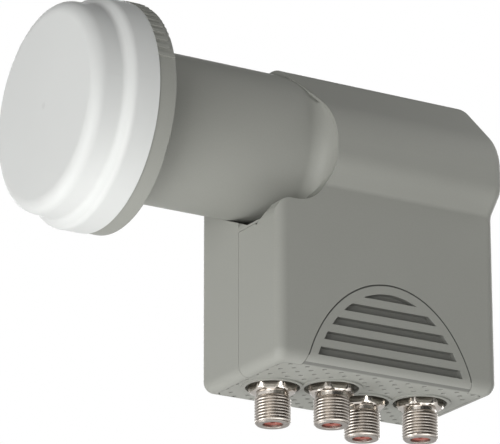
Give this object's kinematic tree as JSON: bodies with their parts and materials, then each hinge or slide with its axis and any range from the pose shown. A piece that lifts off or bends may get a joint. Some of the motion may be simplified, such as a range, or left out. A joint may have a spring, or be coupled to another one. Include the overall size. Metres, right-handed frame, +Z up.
{
  "type": "satellite lnb",
  "caption": "Grey moulded satellite receiver head with a white feed cap, a round clamp neck and threaded coaxial outputs under a box with louvred sides.",
  "frame": {"origin": "on the neck's axis, in the middle of the length that the clamp holds", "axes": "+Y along the neck from the cap to the body, +Z up, sockets pointing along -Z"},
  "size_m": [0.0606, 0.1246, 0.104],
  "materials": {
    "white_cap": "satin white, slightly translucent",
    "grey_housing": "fine matt moulded grey",
    "grey_base": "fine matt moulded grey, a little lighter",
    "nickel": "nickel plated",
    "insulator": "red-orange moulded",
    "contact": "bright",
    "seal": "matt black",
    "casting": "as cast",
    "screw": "zinc plated",
    "board": "green solder mask",
    "ceramic": "fired ceramic",
    "chip": "moulded black",
    "bush": "white fluoropolymer"
  },
  "bodies": {
    "root": {"feed_cap": "white_cap", "main_housing": "grey_housing", "side_cover": "grey_housing", "base_cover": "grey_base", "cap_o_ring": "seal", "horn_o_ring": "seal", "feed_horn": "casting", "chassis": "casting", "horn_screws": "screw", "rf_board": "board", "board_screws": "screw", "low_band_resonator": "ceramic", "high_band_resonator": "ceramic", "switch_chip": "chip", "regulators": "chip", "vertical_probe": "contact", "horizontal_probe": "contact", "vertical_bush": "bush", "horizontal_bush": "bush", "isolation_rod": "screw", "shield_lid": "casting", "lid_gasket": "seal", "lid_screws": "screw", "tuning_screws": "contact", "connector_1": "nickel", "insulator_1": "insulator", "contact_1": "contact", "gasket_1": "seal", "connector_2": "nickel", "insulator_2": "insulator", "contact_2": "contact", "gasket_2": "seal", "connector_3": "nickel", "insulator_3": "insulator", "contact_3": "contact", "gasket_3": "seal", "connector_4": "nickel", "insulator_4": "insulator", "contact_4": "contact", "gasket_4": "seal"}
  },
  "joints": []
}
